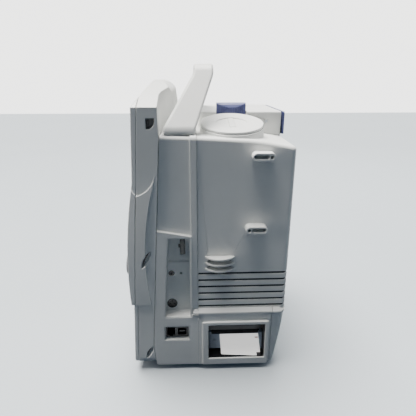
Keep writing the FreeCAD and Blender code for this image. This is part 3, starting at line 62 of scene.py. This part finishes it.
def add_camera():
    data = bpy.data.cameras.new("camera")
    data.lens = CAMERA_LENS
    data.sensor_width = 36
    camera = bpy.data.objects.new("camera", data)
    bpy.context.scene.collection.objects.link(camera)
    forward = Vector((-math.cos(CAMERA_YAW) * math.cos(CAMERA_PITCH),
                      math.sin(CAMERA_YAW) * math.cos(CAMERA_PITCH), -math.sin(CAMERA_PITCH)))
    camera.location = CAMERA_PLACE
    camera.rotation_mode = "QUATERNION"
    camera.rotation_quaternion = forward.to_track_quat("-Z", "Y")
    bpy.context.scene.camera = camera


def aim(lamp, place, target):
    lamp.location = place
    lamp.rotation_mode = "QUATERNION"
    lamp.rotation_quaternion = (Vector(target) - Vector(place)).to_track_quat("-Z", "Y")


def add_lamp(name, kind, place, target, energy, tint):
    data = bpy.data.lights.new(name, kind)
    data.energy = energy
    data.color = tint
    lamp = bpy.data.objects.new(name, data)
    bpy.context.scene.collection.objects.link(lamp)
    aim(lamp, place, target)
    return data


def add_softbox(name, place, target, size, watts, tint):
    data = add_lamp(name, "AREA", place, target, watts, tint)
    data.shape = "RECTANGLE"
    data.size, data.size_y = size


def add_world():
    """A bright pale backdrop that gives only dim cool light of its own."""
    world = bpy.data.worlds.new("studio")
    world.use_nodes = True
    bpy.context.scene.world = world
    shader = Shader(world.node_tree)
    seen = shader.node("ShaderNodeLightPath").outputs["Is Camera Ray"]
    background = world.node_tree.nodes["Background"].inputs
    way = shader.node("ShaderNodeSeparateXYZ")
    shader.feed(way.inputs["Vector"], shader.node("ShaderNodeTexCoord").outputs["Generated"])
    ambient = shader.mix(shader.ramp(way.outputs["Z"], -0.4, 0.6), rgba(AMBIENT_LOW), rgba(AMBIENT_HIGH))
    shader.feed(background["Color"], shader.mix(seen, ambient, rgba(BACKDROP)))


def add_studio():
    add_world()
    middle = (0, 0, 0.22)
    ceiling = add_lamp("ceiling", "SUN", (-0.17, -0.16, 1.22), middle, 12.0, (1.0, 0.985, 0.95))
    ceiling.angle = math.radians(44)
    add_softbox("front_fill", (0.22, -1.5, 0.75), middle, (1.0, 1.0), 12, (1.0, 0.95, 0.87))
    add_softbox("side_fill", (0.9, 0.1, 1.15), (0.12, 0.0, 0.36), (0.7, 0.7), 0.9, (0.80, 0.90, 1.0))
    add_softbox("left_fill", (-1.4, 0.3, 0.9), middle, (1.0, 1.0), 5, (0.95, 0.97, 1.0))
    add_softbox("rear_fill", (-0.2, 1.5, 0.9), middle, (1.0, 1.0), 5, (0.95, 0.97, 1.0))
    bm = bmesh.new()
    bmesh.ops.create_grid(bm, x_segments=2, y_segments=2, size=4)
    floor = new_object("floor", bm)
    floor.data.materials.append(studio_floor())
    floor.visible_diffuse = False


# ---------------------------------------------------------------- shader helpers

class Shader:
    """Adds nodes to a material or group and links them."""

    def __init__(self, tree):
        self.tree = tree

    def node(self, kind, **settings):
        made = self.tree.nodes.new(kind)
        for name, value in settings.items():
            setattr(made, name, value)
        return made

    def feed(self, socket, value):
        if isinstance(value, bpy.types.NodeSocket):
            self.tree.links.new(value, socket)
        else:
            socket.default_value = value

    def noise(self, vector, scale, detail=2.0, rough=0.5):
        made = self.node("ShaderNodeTexNoise")
        self.feed(made.inputs["Vector"], vector)
        self.feed(made.inputs["Scale"], scale)
        made.inputs["Detail"].default_value = detail
        made.inputs["Roughness"].default_value = rough
        return made.outputs["Fac"]

    def ramp(self, value, low, high):
        made = self.node("ShaderNodeMapRange")
        self.feed(made.inputs["Value"], value)
        self.feed(made.inputs["From Min"], low)
        self.feed(made.inputs["From Max"], high)
        return made.outputs["Result"]

    def math(self, operation, first, second=0.0, third=0.0):
        made = self.node("ShaderNodeMath", operation=operation)
        for socket, value in zip(made.inputs, (first, second, third)):
            self.feed(socket, value)
        return made.outputs["Value"]

    def mix(self, factor, first, second, blend="MIX"):
        made = self.node("ShaderNodeMix", data_type="RGBA", blend_type=blend)
        self.feed(made.inputs["Factor"], factor)
        self.feed(made.inputs["A"], first)
        self.feed(made.inputs["B"], second)
        return made.outputs["Result"]

    def object_place(self):
        return self.node("ShaderNodeTexCoord").outputs["Object"]

    def stretched(self, vector, scale):
        made = self.node("ShaderNodeMapping")
        self.feed(made.inputs["Vector"], vector)
        made.inputs["Scale"].default_value = scale
        return made.outputs["Vector"]


def rgba(color):
    return (*color, 1.0)


def start_group(name, inputs, outputs):
    tree = bpy.data.node_groups.new(name, "ShaderNodeTree")
    for label, kind, value in inputs:
        socket = tree.interface.new_socket(label, in_out="INPUT", socket_type=kind)
        socket.default_value = value
    for label, kind in outputs:
        tree.interface.new_socket(label, in_out="OUTPUT", socket_type=kind)
    shader = Shader(tree)
    return shader, shader.node("NodeGroupInput").outputs, shader.node("NodeGroupOutput").inputs


def make_moulded_skin():
    """Injection-moulded skin: cloudy tone, faint handling marks, and the fine spark texture of the mould."""
    shader, given, out = start_group(
        "moulded_skin",
        [("Color", "NodeSocketColor", (0.8, 0.8, 0.8, 1)), ("Aged Color", "NodeSocketColor", (0.7, 0.68, 0.6, 1)),
         ("Cloud", "NodeSocketFloat", 0.3), ("Roughness", "NodeSocketFloat", 0.5), ("Grain Size", "NodeSocketFloat", 0.5),
         ("Marks", "NodeSocketFloat", 0.2)],
        [("Color", "NodeSocketColor"), ("Roughness", "NodeSocketFloat"), ("Height", "NodeSocketFloat")])
    place = shader.object_place()
    cloud = shader.ramp(shader.noise(place, 14, 4, 0.6), 0.35, 0.75)
    cloud = shader.math("MULTIPLY", cloud, given["Cloud"])
    streaks = shader.noise(shader.stretched(place, (60, 60, 9)), 2.2, 5, 0.7)
    streaks = shader.math("MULTIPLY", shader.ramp(streaks, 0.56, 0.78), given["Marks"])
    color = shader.mix(cloud, given["Color"], given["Aged Color"])
    color = shader.mix(streaks, color, given["Aged Color"])
    frequency = shader.math("DIVIDE", 1000.0, given["Grain Size"])
    grain = shader.noise(place, frequency, 1.5, 0.6)
    fine = shader.mix(0.05, color, shader.mix(grain, rgba((0, 0, 0)), rgba((1, 1, 1))), "OVERLAY")
    shader.feed(out["Color"], fine)
    rubbed = shader.ramp(shader.noise(place, 40, 3, 0.6), 0.3, 0.7)
    rough = shader.math("ADD", given["Roughness"], shader.math("MULTIPLY", shader.math("SUBTRACT", rubbed, 0.5), 0.14))
    rough = shader.math("ADD", rough, shader.math("MULTIPLY", streaks, 0.15))
    shader.feed(out["Roughness"], rough)
    shader.feed(out["Height"], grain)
    return shader.tree


def make_scuffs():
    """Mask of short rubbed scratches."""
    shader, given, out = start_group(
        "scuffs", [("Density", "NodeSocketFloat", 0.5), ("Scale", "NodeSocketFloat", 1.0)],
        [("Mask", "NodeSocketFloat")])
    place = shader.object_place()
    across = shader.noise(shader.stretched(place, (900, 60, 260)), given["Scale"], 2, 0.5)
    along = shader.noise(shader.stretched(place, (90, 800, 300)), given["Scale"], 2, 0.5)
    patches = shader.ramp(shader.noise(place, 26, 3, 0.6), 0.5, 0.66)
    lines = shader.math("MAXIMUM", shader.ramp(across, 0.68, 0.74), shader.ramp(along, 0.69, 0.74))
    shader.feed(out["Mask"], shader.math("MULTIPLY", shader.math("MULTIPLY", lines, patches), given["Density"]))
    return shader.tree


GROUPS = {}


def use_group(shader, name, **values):
    if name not in GROUPS:
        GROUPS[name] = {"moulded_skin": make_moulded_skin, "scuffs": make_scuffs}[name]()
    made = shader.node("ShaderNodeGroup", node_tree=GROUPS[name])
    for label, value in values.items():
        shader.feed(made.inputs[label.replace("_", " ")], value)
    return made.outputs


def start_material(name):
    material = bpy.data.materials.new(name)
    material.use_nodes = True
    shader = Shader(material.node_tree)
    surface = material.node_tree.nodes["Principled BSDF"]
    return material, shader, surface.inputs


def bump(shader, surface, height, depth, strength=1.0):
    made = shader.node("ShaderNodeBump")
    made.inputs["Distance"].default_value = depth
    made.inputs["Strength"].default_value = strength
    shader.feed(made.inputs["Height"], height)
    shader.feed(surface["Normal"], made.outputs["Normal"])


# ---------------------------------------------------------------- materials

def moulded(name, color, aged, rough=0.5, cloud=0.3, marks=0.2, grain=0.5, depth=0.00005, coat=0.0, scuffed=0.0):
    """Moulded plastic; grain is the size of its texture in millimetres."""
    material, shader, surface = start_material(name)
    skin = use_group(shader, "moulded_skin", Color=rgba(color), Aged_Color=rgba(aged), Cloud=cloud,
                     Roughness=rough, Grain_Size=grain, Marks=marks)
    tone, roughness = skin["Color"], skin["Roughness"]
    if scuffed:
        mask = use_group(shader, "scuffs", Density=scuffed, Scale=1.0)["Mask"]
        tone = shader.mix(mask, tone, rgba(tuple(0.5 * part + 0.28 for part in color)))
        roughness = shader.math("ADD", roughness, shader.math("MULTIPLY", mask, 0.2))
    shader.feed(surface["Base Color"], tone)
    shader.feed(surface["Roughness"], roughness)
    surface["Coat Weight"].default_value = coat
    surface["Coat Roughness"].default_value = 0.25
    bump(shader, surface, skin["Height"], depth)
    return material


def rubber(name, color):
    material, shader, surface = start_material(name)
    skin = use_group(shader, "moulded_skin", Color=rgba(color), Aged_Color=rgba(tuple(0.6 * c + 0.1 for c in color)),
                     Cloud=0.5, Roughness=0.78, Grain_Size=0.8, Marks=0.4)
    shader.feed(surface["Base Color"], skin["Color"])
    shader.feed(surface["Roughness"], skin["Roughness"])
    surface["Specular IOR Level"].default_value = 0.3
    bump(shader, surface, skin["Height"], 0.0001)
    return material


def brushed_metal(name, color, rough, stretch):
    """Metal with a brushed or rolled grain along one direction."""
    material, shader, surface = start_material(name)
    place = shader.object_place()
    grain = shader.noise(shader.stretched(place, stretch), 1.0, 4, 0.7)
    blotch = shader.noise(place, 22, 3, 0.6)
    tone = shader.mix(shader.ramp(grain, 0.3, 0.7), rgba(tuple(0.86 * c for c in color)), rgba(color))
    tone = shader.mix(shader.ramp(blotch, 0.5, 0.8), tone, rgba(tuple(0.75 * c for c in color)))
    shader.feed(surface["Base Color"], tone)
    surface["Metallic"].default_value = 1.0
    shader.feed(surface["Roughness"], shader.math("ADD", rough, shader.math("MULTIPLY", grain, 0.12)))
    bump(shader, surface, grain, 0.00002)
    return material


def studio_floor():
    material, shader, surface = start_material("studio_floor")
    place = shader.object_place()
    tone = shader.mix(shader.noise(place, 3, 3, 0.5), rgba((0.40, 0.44, 0.47)), rgba((0.43, 0.47, 0.50)))
    shader.feed(surface["Base Color"], tone)
    surface["Roughness"].default_value = 0.7
    return material


def window_sheet():
    material, shader, surface = start_material("window_sheet")
    place = shader.object_place()
    smears = shader.noise(shader.stretched(place, (30, 30, 12)), 1.0, 4, 0.6)
    surface["Base Color"].default_value = (0.86, 0.9, 0.9, 1)
    shader.feed(surface["Roughness"], shader.math("ADD", 0.04, shader.math("MULTIPLY", shader.ramp(smears, 0.5, 0.8), 0.12)))
    surface["Transmission Weight"].default_value = 1.0
    surface["IOR"].default_value = 1.49
    return material


def screen_face():
    """Unlit liquid-crystal screen with its fine dot rows."""
    material, shader, surface = start_material("screen_face")
    place = shader.object_place()
    rows = shader.node("ShaderNodeTexWave", bands_direction="Z")
    shader.feed(rows.inputs["Vector"], place)
    rows.inputs["Scale"].default_value = 500
    tone = shader.mix(rows.outputs["Fac"], rgba((0.024, 0.033, 0.035)), rgba((0.026, 0.035, 0.037)))
    tone = shader.mix(shader.noise(place, 12, 3, 0.5), tone, rgba((0.035, 0.045, 0.05)))
    shader.feed(surface["Base Color"], tone)
    surface["Roughness"].default_value = 0.28
    return material


def light_lens():
    material, shader, surface = start_material("light_lens")
    place = shader.object_place()
    prisms = shader.node("ShaderNodeTexWave", bands_direction="X")
    shader.feed(prisms.inputs["Vector"], place)
    prisms.inputs["Scale"].default_value = 160
    shader.feed(surface["Base Color"], shader.mix(prisms.outputs["Fac"], rgba((0.62, 0.30, 0.05)), rgba((0.86, 0.50, 0.12))))
    surface["Roughness"].default_value = 0.22
    surface["Subsurface Weight"].default_value = 0.2
    surface["Coat Weight"].default_value = 0.5
    bump(shader, surface, prisms.outputs["Fac"], 0.0002)
    return material


# Strength of the paper's painted glow: painted light that stands in for light the bay's shade keeps from it.
PAPER_PAINTED_GLOW = 0.5


def recorder_paper():
    """Thermal paper with soft fibres; a painted glow keeps it light in the shade of the bay."""
    material, shader, surface = start_material("recorder_paper")
    place = shader.object_place()
    fibres = shader.noise(place, 900, 3, 0.6)
    tone = shader.mix(shader.noise(place, 45, 3, 0.6), rgba((0.93, 0.93, 0.915)), rgba((0.87, 0.87, 0.86)))
    tone = shader.mix(shader.math("MULTIPLY", fibres, 0.12), tone, rgba((0.7, 0.7, 0.69)))
    shader.feed(surface["Base Color"], tone)
    shader.feed(surface["Roughness"], shader.ramp(fibres, -1.2, 1.6))
    surface["Sheen Weight"].default_value = 0.15
    # Painted light: the paper glows, though it is no lamp, so it stays light in the shade of the bay.
    surface["Emission Color"].default_value = (1.0, 0.985, 0.96, 1)
    surface["Emission Strength"].default_value = PAPER_PAINTED_GLOW
    bump(shader, surface, fibres, 0.00003)
    return material


def ink(name, color):
    """Printing ink that lets a little of the paper's tooth through."""
    material, shader, surface = start_material(name)
    fibres = shader.noise(shader.object_place(), 900, 3, 0.6)
    shader.feed(surface["Base Color"], shader.mix(shader.math("MULTIPLY", fibres, 0.3), rgba(color), rgba((0.55, 0.52, 0.52))))
    surface["Roughness"].default_value = 0.6
    bump(shader, surface, fibres, 0.00002)
    return material


def filter_foam():
    material, shader, surface = start_material("filter_foam")
    cells = shader.node("ShaderNodeTexVoronoi")
    shader.feed(cells.inputs["Vector"], shader.object_place())
    cells.inputs["Scale"].default_value = 900
    shader.feed(surface["Base Color"], shader.mix(cells.outputs["Distance"], rgba((0.30, 0.32, 0.33)), rgba((0.62, 0.64, 0.65))))
    surface["Roughness"].default_value = 0.95
    bump(shader, surface, cells.outputs["Distance"], 0.0006)
    return material


def circuit_laminate():
    material, shader, surface = start_material("circuit_laminate")
    place = shader.object_place()
    tracks = shader.node("ShaderNodeTexBrick")
    shader.feed(tracks.inputs["Vector"], shader.stretched(place, (120, 120, 240)))
    tracks.inputs["Color1"].default_value = (0.02, 0.16, 0.07, 1)
    tracks.inputs["Color2"].default_value = (0.03, 0.20, 0.09, 1)
    tracks.inputs["Mortar"].default_value = (0.30, 0.34, 0.12, 1)
    tracks.inputs["Mortar Size"].default_value = 0.02
    shader.feed(surface["Base Color"], tracks.outputs["Color"])
    shader.feed(surface["Roughness"], shader.ramp(shader.noise(place, 200, 2, 0.5), -0.6, 1.8))
    bump(shader, surface, tracks.outputs["Fac"], 0.0001)
    return material


def make_materials():
    ivory = (0.80, 0.805, 0.785)
    ivory_aged = (0.70, 0.69, 0.64)
    return {
        "ivory_plastic": moulded("ivory_plastic", ivory, ivory_aged, 0.46, 0.35, 0.25, 0.45, 0.00004, scuffed=0.35),
        "ivory_cover": moulded("ivory_cover", (0.82, 0.825, 0.81), ivory_aged, 0.36, 0.25, 0.2, 0.35, 0.00002, 0.15),
        "blue_plastic": moulded("blue_plastic", (0.075, 0.085, 0.22), (0.11, 0.12, 0.25), 0.38, 0.5, 0.4, 0.5, 0.00003,
                                scuffed=0.3),
        "overlay_grey": moulded("overlay_grey", (0.30, 0.35, 0.43), (0.26, 0.30, 0.36), 0.42, 0.3, 0.2, 0.3, 0.00002),
        "black_plastic": moulded("black_plastic", (0.012, 0.012, 0.014), (0.03, 0.03, 0.03), 0.42, 0.5, 0.5, 0.5, 0.00004),
        "vent_shadow": moulded("vent_shadow", (0.006, 0.006, 0.007), (0.015, 0.015, 0.016), 0.8, 0.4, 0.3, 0.6, 0.00004),
        "window": window_sheet(),
        "lcd": screen_face(),
        "light_lens": light_lens(),
        "knob_grey": moulded("knob_grey", (0.10, 0.11, 0.13), (0.14, 0.15, 0.16), 0.5, 0.4, 0.3, 0.5, 0.00004, scuffed=0.4),
        "key_rubber": rubber("key_rubber", (0.62, 0.63, 0.64)),
        "foot_rubber": rubber("foot_rubber", (0.02, 0.02, 0.021)),
        "steel": brushed_metal("steel", (0.58, 0.59, 0.61), 0.24, (40, 1600, 40)),
        "zinc_plate": brushed_metal("zinc_plate", (0.62, 0.63, 0.64), 0.34, (1200, 60, 60)),
        "brass": brushed_metal("brass", (0.78, 0.60, 0.30), 0.22, (1500, 1500, 120)),
        "chrome": brushed_metal("chrome", (0.78, 0.78, 0.80), 0.10, (300, 300, 300)),
        "board_green": circuit_laminate(),
        "paper": recorder_paper(),
        "filter_foam": filter_foam(),
        "battery_grey": moulded("battery_grey", (0.22, 0.23, 0.25), (0.28, 0.28, 0.29), 0.5, 0.4, 0.4, 0.6, 0.00005, scuffed=0.4),
    }


# ---------------------------------------------------------------- mesh helpers

def new_object(name, bm):
    mesh = bpy.data.meshes.new(name)
    bm.to_mesh(mesh)
    bm.free()
    made = bpy.data.objects.new(name, mesh)
    bpy.context.scene.collection.objects.link(made)
    return made


def shade_smooth(piece, angle=35):
    """Smooth shading that stops at sharp edges."""
    bm = bmesh.new()
    bm.from_mesh(piece.data)
    limit = math.radians(angle)
    for face in bm.faces:
        face.smooth = True
    for edge in bm.edges:
        edge.smooth = len(edge.link_faces) == 2 and edge.calc_face_angle(0) < limit
    bm.to_mesh(piece.data)
    bm.free()


VENT_TOP = 157.4
VENT_PITCH = 10.25
VENT_COUNT = 6
VENT_HEIGHT = 3.4


def is_vent_floor(face):
    """True for the floor of a vent groove."""
    heights = [vert.co.z / MM for vert in face.verts]
    tops = [VENT_TOP - index * VENT_PITCH for index in range(VENT_COUNT)]
    inside = any(top - VENT_HEIGHT - 0.1 < min(heights) and max(heights) < top + 0.1 for top in tops)
    return inside and abs(face.normal.z) < 0.3


def eased(node, width, segments=2, angle=32, join_flats=False):
    """A copy of a moulded part with its sharp edges eased, which stands for the part."""
    bm = bmesh.new()
    bm.from_mesh(NODES[node].data)
    bmesh.ops.remove_doubles(bm, verts=bm.verts, dist=0.000002)
    if join_flats:
        bmesh.ops.dissolve_limit(bm, angle_limit=math.radians(0.5), verts=bm.verts, edges=bm.edges)
    bm.normal_update()
    if node == "rear_case":
        for face in filter(is_vent_floor, bm.faces):
            face.material_index = 1
    piece = new_object(node + "_shell", bm)
    if "custom_normal" in piece.data.attributes:
        piece.data.attributes.remove(piece.data.attributes["custom_normal"])
    shade_smooth(piece, angle)
    ease = piece.modifiers.new("ease", "BEVEL")
    ease.width = width * MM
    ease.segments = segments
    ease.limit_method = "ANGLE"
    ease.angle_limit = math.radians(angle)
    ease.use_clamp_overlap = False
    even = piece.modifiers.new("even", "WEIGHTED_NORMAL")
    even.keep_sharp = True
    even.weight = 100
    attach(piece, BODY_OF[node])
    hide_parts(node)
    return piece


# ---------------------------------------------------------------- recorder paper

SHEET_LEFT = (20.0, 21.3)      # y of the left edge at the slot and at the free end
SHEET_RIGHT = (77.5, 79.0)
SHEET_TOP = (107.7, 46.4)      # x and z at the slot
SHEET_FOOT = (24.4, 21.6)      # z of the free end at its left and right corner
SHEET_SLOPE = 0.785            # how far the sheet comes out for each millimetre that it drops
SHEET_BOW = 0.9
SHEET_THICK = 0.14
INDEX_FROM = (0.905, 0.84)     # corner patch, as shares of the width and the drop
MARK_U = (0.90, 0.985)
MARK_V = (0.15, 0.20)


def sheet_point(u, v):
    """A point of the hanging sheet, u across and v down; it bows outwards and its free end curls a little."""
    y = SHEET_LEFT[0] + (SHEET_LEFT[1] - SHEET_LEFT[0]) * v
    y += (SHEET_RIGHT[0] + (SHEET_RIGHT[1] - SHEET_RIGHT[0]) * v - y) * u
    bow = SHEET_BOW * math.sin(math.pi * v) * (1 - 0.3 * u)
    ripple = 0.12 * math.sin(5.0 * u + 1.0) * v
    drop = (SHEET_TOP[1] - SHEET_FOOT[0] - (SHEET_FOOT[1] - SHEET_FOOT[0]) * u) * v
    x = SHEET_TOP[0] + drop * SHEET_SLOPE + bow + ripple
    z = SHEET_TOP[1] - drop
    return Vector((x, y, z)) * MM


def make_paper(materials):
    """The printed end of the recorder paper with its end-of-roll mark and index patch."""
    us = sorted([step / 16 for step in range(17)] + [INDEX_FROM[0], *MARK_U])
    vs = sorted([step / 20 for step in range(21) if step != 3 and step != 4] + [INDEX_FROM[1], *MARK_V])
    bm = bmesh.new()
    rows = [[bm.verts.new(sheet_point(u, v)) for u in us] for v in vs]
    for row, (upper, lower) in enumerate(zip(rows, rows[1:])):
        for column in range(len(us) - 1):
            face = bm.faces.new((upper[column], lower[column], lower[column + 1], upper[column + 1]))
            middle_u = (us[column] + us[column + 1]) / 2
            middle_v = (vs[row] + vs[row + 1]) / 2
            if middle_u > INDEX_FROM[0] and middle_v > INDEX_FROM[1]:
                face.material_index = 1
            elif MARK_U[0] < middle_u < MARK_U[1] and MARK_V[0] < middle_v < MARK_V[1]:
                face.material_index = 2
    bmesh.ops.solidify(bm, geom=bm.faces[:], thickness=SHEET_THICK * MM)
    bmesh.ops.recalc_face_normals(bm, faces=bm.faces)
    sheet = new_object("paper_sheet", bm)
    for material in (materials["paper"], ink("index_ink", (0.012, 0.012, 0.014)), ink("end_mark_ink", (0.62, 0.12, 0.14))):
        sheet.data.materials.append(material)
    shade_smooth(sheet)
    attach(sheet, BODY_OF["paper_strip"])
    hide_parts("paper_strip")


# ---------------------------------------------------------------- run

EASED = {
    "display_frame": 0.5, "front_cover": 0.8, "centre_housing": 0.4, "rear_case": 0.4, "filter_housing": 0.8,
    "base_housing": 0.6, "bay_panel": 0.5, "side_louvre": 0.4, "connector_panel": 0.3, "oxygen_cell_cover": 0.7,
    "filter_latch": 0.3, "accessory_posts": 0.5, "rear_panel": 0.4, "recorder_drawer": 0.25, "rear_bumpers": 0.8,
    "network_bay": 0.3, "display_catches": 0.25, "power_rocker": 0.3, "patient_block": 0.5,
}
HANDLE_ROUND = 3.0


def dress(piece, *finishes):
    if piece.data.materials:
        piece.data.materials.clear()
    for finish in finishes:
        piece.data.materials.append(finish)


def main():
    materials = make_materials()
    for node, piece in NODES.items():
        dress(piece, materials[SLOT_OF[node]])
    for node, width in EASED.items():
        dress(eased(node, width), materials[SLOT_OF[node]], materials["vent_shadow"])
    dress(eased("carry_handle", HANDLE_ROUND, 4, 24, join_flats=True), materials[SLOT_OF["carry_handle"]])
    make_paper(materials)
    add_camera()
    add_studio()


main()
